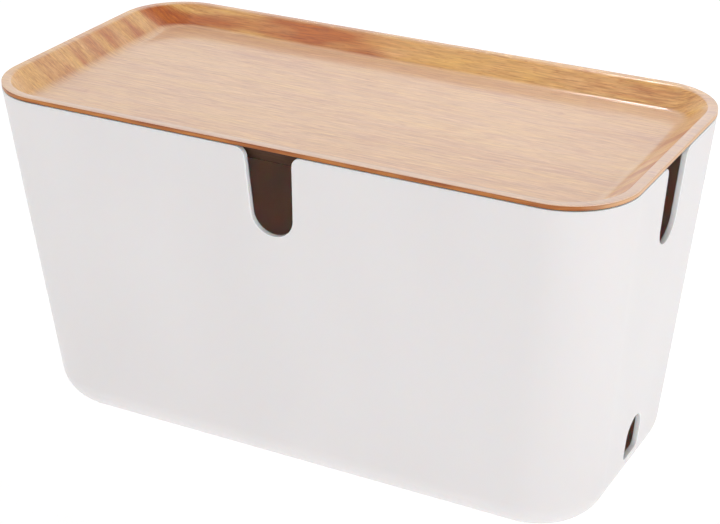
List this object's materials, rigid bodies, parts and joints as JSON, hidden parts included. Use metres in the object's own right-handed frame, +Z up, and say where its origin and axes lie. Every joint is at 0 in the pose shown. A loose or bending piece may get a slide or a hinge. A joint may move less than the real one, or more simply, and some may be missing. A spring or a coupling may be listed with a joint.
{
  "type": "cable management box",
  "caption": "Long open-topped white box with rounded corners that hides a power strip and slack cables, with rim slots, low end holes and a dished wood veneer tray as its lift-off lid.",
  "frame": {"origin": "under the middle of the box, on the plane that its feet stand on", "axes": "+X along the long sides, +Y across the box towards its back, +Z up; the pictured long side faces -Y and the pictured end faces +X"},
  "size_m": [0.46, 0.229, 0.2515],
  "materials": {
    "shell_plastic": "satin white moulded plastic",
    "tray_veneer": "satin lacquered warm veneer, fine straight grain along the box",
    "foot_rubber": "matt dark rubber"
  },
  "bodies": {
    "box": {"box_shell": "shell_plastic", "foot_front_left": "foot_rubber", "foot_front_right": "foot_rubber", "foot_back_left": "foot_rubber", "foot_back_right": "foot_rubber"},
    "lid": {"tray_lid": "tray_veneer"}
  },
  "joints": [
    {"name": "lid_lift", "type": "slide", "parent": "box", "child": "lid", "axis": [0, 0, 1], "range_m": [0, 0.3]}
  ]
}
